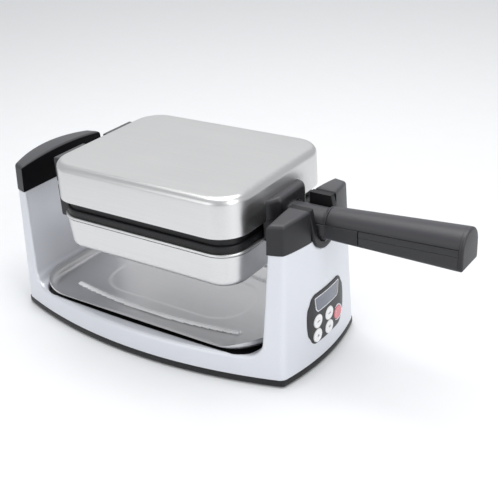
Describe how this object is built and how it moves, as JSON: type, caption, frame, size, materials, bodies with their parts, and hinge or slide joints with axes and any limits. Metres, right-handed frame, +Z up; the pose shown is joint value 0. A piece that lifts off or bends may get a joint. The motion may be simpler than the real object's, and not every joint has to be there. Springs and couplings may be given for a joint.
{
  "type": "waffle maker",
  "caption": "Rotary waffle maker: a brushed steel head that turns between two posts of a silver base, with a lid, split handle, drip tray and side control panel.",
  "frame": {"origin": "on the table, under the middle of the whole object's box, handle included", "axes": "+X from the hinge side to the handle side, +Y to the back, +Z up"},
  "size_m": [0.5124, 0.1968, 0.1972],
  "materials": {
    "silver_paint": "silver-white satin paint over a moulded shell",
    "black_plastic": "fine-textured black moulding",
    "charcoal_plastic": "satin charcoal moulding with a fine grain",
    "brushed_steel": "stainless steel brushed along the width",
    "tray_steel": "thin stainless sheet with a soft brushed finish",
    "plated_steel": "bright plated steel",
    "coated_cast": "dark non-stick coating over cast aluminium",
    "bronze": "sintered bronze",
    "foot_rubber": "matt rubber",
    "display_glass": "clear window over a grey display",
    "display_panel": "display module",
    "circuit_board": "green solder mask",
    "white_plastic": "glossy white moulding",
    "red_plastic": "glossy red moulding"
  },
  "bodies": {
    "base": {"base_housing": "silver_paint", "bottom_cover": "black_plastic", "rubber_feet": "foot_rubber", "base_screws": "plated_steel", "deck_plate": "black_plastic", "left_post_cap": "charcoal_plastic", "right_front_cap": "charcoal_plastic", "right_rear_cap": "charcoal_plastic", "cradle_liner": "black_plastic", "axle_bush": "bronze", "panel_bezel": "charcoal_plastic", "display_window": "display_glass", "display_module": "display_panel", "control_board": "circuit_board", "button_switches": "black_plastic", "buzzer": "black_plastic", "power_board": "circuit_board", "relay": "white_plastic", "terminal_block": "white_plastic", "cord_gland": "black_plastic"},
    "drip_tray": {"drip_tray": "tray_steel"},
    "button_select": {"button_select": "white_plastic"},
    "button_browning": {"button_browning": "white_plastic"},
    "button_up": {"button_up": "white_plastic"},
    "button_down": {"button_down": "white_plastic"},
    "button_power": {"button_power": "red_plastic"},
    "lower_half": {"lower_cover": "brushed_steel", "lower_rim": "brushed_steel", "lower_frame": "black_plastic", "lower_plate": "coated_cast", "lower_heater": "plated_steel", "lower_reflector": "plated_steel", "thermostat": "plated_steel", "lower_hinge": "charcoal_plastic", "hinge_pins": "plated_steel", "left_axle": "plated_steel", "axle_clip": "plated_steel", "lower_handle_arm": "charcoal_plastic", "lower_grip": "charcoal_plastic", "lower_grip_cover": "black_plastic", "grip_screws": "plated_steel", "lower_journal_ring": "plated_steel"},
    "upper_half": {"upper_cover": "brushed_steel", "upper_frame": "black_plastic", "upper_plate": "coated_cast", "upper_heater": "plated_steel", "upper_reflector": "plated_steel", "thermal_fuse": "plated_steel", "upper_hinge": "charcoal_plastic", "upper_handle_arm": "charcoal_plastic", "upper_grip": "charcoal_plastic", "grip_end_cap": "charcoal_plastic", "upper_journal_ring": "plated_steel"}
  },
  "joints": [
    {"name": "head_turn", "type": "hinge", "parent": "base", "child": "lower_half", "pos_m": [-0.05095, 0, 0.151], "axis": [1, 0, 0], "range_deg": [-180, 0]},
    {"name": "lid_open", "type": "hinge", "parent": "lower_half", "child": "upper_half", "pos_m": [-0.17475, 0, 0.157], "axis": [0, -1, 0], "range_deg": [0, 95]},
    {"name": "tray_slide", "type": "slide", "parent": "base", "child": "drip_tray", "axis": [0, -1, 0], "range_m": [0, 0.2]},
    {"name": "button_select_press", "type": "slide", "parent": "base", "child": "button_select", "axis": [-1, 0, 0], "range_m": [0, 0.0012], "stiffness_N_per_m": 900},
    {"name": "button_browning_press", "type": "slide", "parent": "base", "child": "button_browning", "axis": [-1, 0, 0], "range_m": [0, 0.0012], "stiffness_N_per_m": 900},
    {"name": "button_up_press", "type": "slide", "parent": "base", "child": "button_up", "axis": [-1, 0, 0], "range_m": [0, 0.0012], "stiffness_N_per_m": 900},
    {"name": "button_down_press", "type": "slide", "parent": "base", "child": "button_down", "axis": [-1, 0, 0], "range_m": [0, 0.0012], "stiffness_N_per_m": 900},
    {"name": "button_power_press", "type": "slide", "parent": "base", "child": "button_power", "axis": [-1, 0, 0], "range_m": [0, 0.0012], "stiffness_N_per_m": 900}
  ]
}
